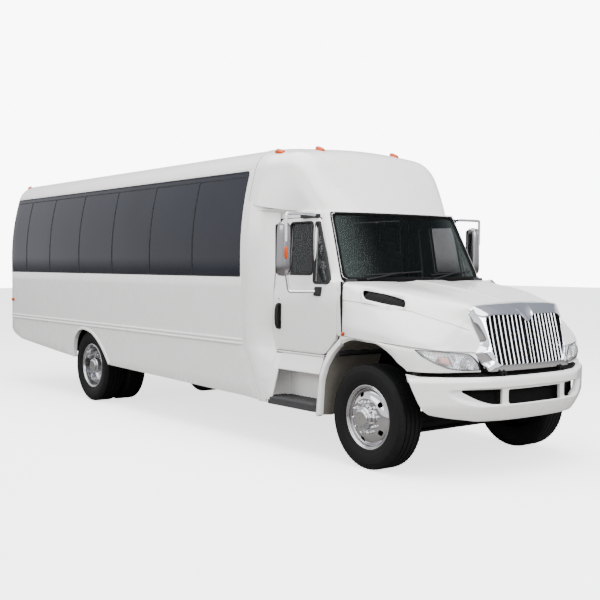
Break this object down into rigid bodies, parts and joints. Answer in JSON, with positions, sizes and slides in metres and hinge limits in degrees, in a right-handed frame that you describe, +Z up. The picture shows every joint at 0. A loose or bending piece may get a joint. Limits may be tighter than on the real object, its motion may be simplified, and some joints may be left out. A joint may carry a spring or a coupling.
{
  "type": "shuttle bus",
  "caption": "Bonneted shuttle bus with dark side window bands, an over-cab cap, forward-tilting hood, hinged cab, entrance and rear doors, steered front wheels and twin rear wheels.",
  "frame": {"origin": "middle of the vehicle's box at the height that it stands on", "axes": "+X forward, +Y to the left side, +Z up"},
  "size_m": [9.53, 2.84, 3.1592],
  "materials": {
    "white_paint": "gloss",
    "black_chassis": "satin",
    "tinted_glass": "gloss",
    "clear_glass": "gloss",
    "bright_metal": "polished",
    "mirror_shell": "polished",
    "black_plastic": "matte",
    "grey_floor": "matte",
    "seat_cloth": "matte",
    "cast_parts": "matte",
    "amber_lens": "gloss",
    "red_lens": "gloss",
    "lamp_lens": "gloss",
    "tyre_rubber": "matte",
    "tank_metal": "satin",
    "exhaust_steel": "satin"
  },
  "bodies": {
    "root": {"frame_rails": "black_chassis", "cross_members": "black_chassis", "engine_block": "cast_parts", "radiator": "black_plastic", "front_axle_beam": "cast_parts", "leaf_springs": "cast_parts", "rear_axle": "cast_parts", "driveshaft": "cast_parts", "fuel_tank": "tank_metal", "exhaust": "exhaust_steel", "passenger_floor": "grey_floor", "right_side_wall": "white_paint", "left_side_wall": "white_paint", "passenger_roof": "white_paint", "rear_wall": "white_paint", "right_side_windows": "tinted_glass", "left_side_windows": "tinted_glass", "front_cap": "white_paint", "cab_shell": "white_paint", "windshield": "clear_glass", "cab_steps": "white_paint", "dashboard": "black_plastic", "steering_wheel": "black_plastic", "seats": "seat_cloth", "front_bumper": "white_paint", "rear_bumper": "black_chassis", "tail_lamps": "red_lens", "marker_lamps": "amber_lens"},
    "hood": {"hood": "white_paint", "grille_surround": "bright_metal", "grille_bars": "bright_metal", "headlights": "lamp_lens"},
    "rear_door": {"rear_door": "white_paint", "rear_door_glass": "tinted_glass"},
    "entrance_front_door": {"entrance_front_leaf": "black_plastic", "entrance_front_glass": "tinted_glass"},
    "entrance_rear_door": {"entrance_rear_leaf": "black_plastic", "entrance_rear_glass": "tinted_glass"},
    "left_cab_door": {"left_cab_door": "white_paint", "left_door_glass": "clear_glass", "left_mirror": "mirror_shell"},
    "right_cab_door": {"right_cab_door": "white_paint", "right_door_glass": "clear_glass", "right_mirror": "mirror_shell"},
    "left_steering": {"left_knuckle": "cast_parts"},
    "right_steering": {"right_knuckle": "cast_parts"},
    "front_left_wheel": {"front_left_tyre": "tyre_rubber", "front_left_rim": "bright_metal"},
    "front_right_wheel": {"front_right_tyre": "tyre_rubber", "front_right_rim": "bright_metal"},
    "rear_left_wheels": {"rear_left_tyres": "tyre_rubber", "rear_left_rims": "bright_metal"},
    "rear_right_wheels": {"rear_right_tyres": "tyre_rubber", "rear_right_rims": "bright_metal"}
  },
  "joints": [
    {"name": "hood_tilt", "type": "hinge", "parent": "root", "child": "hood", "pos_m": [4.7, 0, 0.935], "axis": [0, 1, 0], "range_deg": [0, 70]},
    {"name": "left_cab_door_hinge", "type": "hinge", "parent": "root", "child": "left_cab_door", "pos_m": [3.254, 1.102, 1.5], "axis": [0, 0, -1], "range_deg": [0, 70]},
    {"name": "right_cab_door_hinge", "type": "hinge", "parent": "root", "child": "right_cab_door", "pos_m": [3.254, -1.102, 1.5], "axis": [0, 0, 1], "range_deg": [0, 70]},
    {"name": "entrance_front_hinge", "type": "hinge", "parent": "root", "child": "entrance_front_door", "pos_m": [1.712, 1.222, 1.4], "axis": [0, 0, -1], "range_deg": [0, 90]},
    {"name": "entrance_rear_hinge", "type": "hinge", "parent": "root", "child": "entrance_rear_door", "pos_m": [0.868, 1.222, 1.4], "axis": [0, 0, 1], "range_deg": [0, 90]},
    {"name": "rear_door_hinge", "type": "hinge", "parent": "root", "child": "rear_door", "pos_m": [-4.688, -0.464, 1.7], "axis": [0, 0, 1], "range_deg": [0, 110]},
    {"name": "left_steer", "type": "hinge", "parent": "root", "child": "left_steering", "pos_m": [3.715, 0.88, 0.482], "axis": [0, 0, 1], "range_deg": [-35, 35]},
    {"name": "right_steer", "type": "hinge", "parent": "root", "child": "right_steering", "pos_m": [3.715, -0.88, 0.482], "axis": [0, 0, 1], "range_deg": [-35, 35]},
    {"name": "front_left_spin", "type": "hinge", "parent": "left_steering", "child": "front_left_wheel", "pos_m": [3.715, 1, 0.482], "axis": [0, 1, 0], "continuous": true},
    {"name": "front_right_spin", "type": "hinge", "parent": "right_steering", "child": "front_right_wheel", "pos_m": [3.715, -1, 0.482], "axis": [0, 1, 0], "continuous": true},
    {"name": "rear_left_spin", "type": "hinge", "parent": "root", "child": "rear_left_wheels", "pos_m": [-1.91, 0.865, 0.482], "axis": [0, 1, 0], "continuous": true},
    {"name": "rear_right_spin", "type": "hinge", "parent": "root", "child": "rear_right_wheels", "pos_m": [-1.91, -0.865, 0.482], "axis": [0, 1, 0], "continuous": true}
  ],
  "couplings": [
    {"joint": "right_steer", "follows": "left_steer", "ratio": 1},
    {"joint": "entrance_rear_hinge", "follows": "entrance_front_hinge", "ratio": 1}
  ]
}
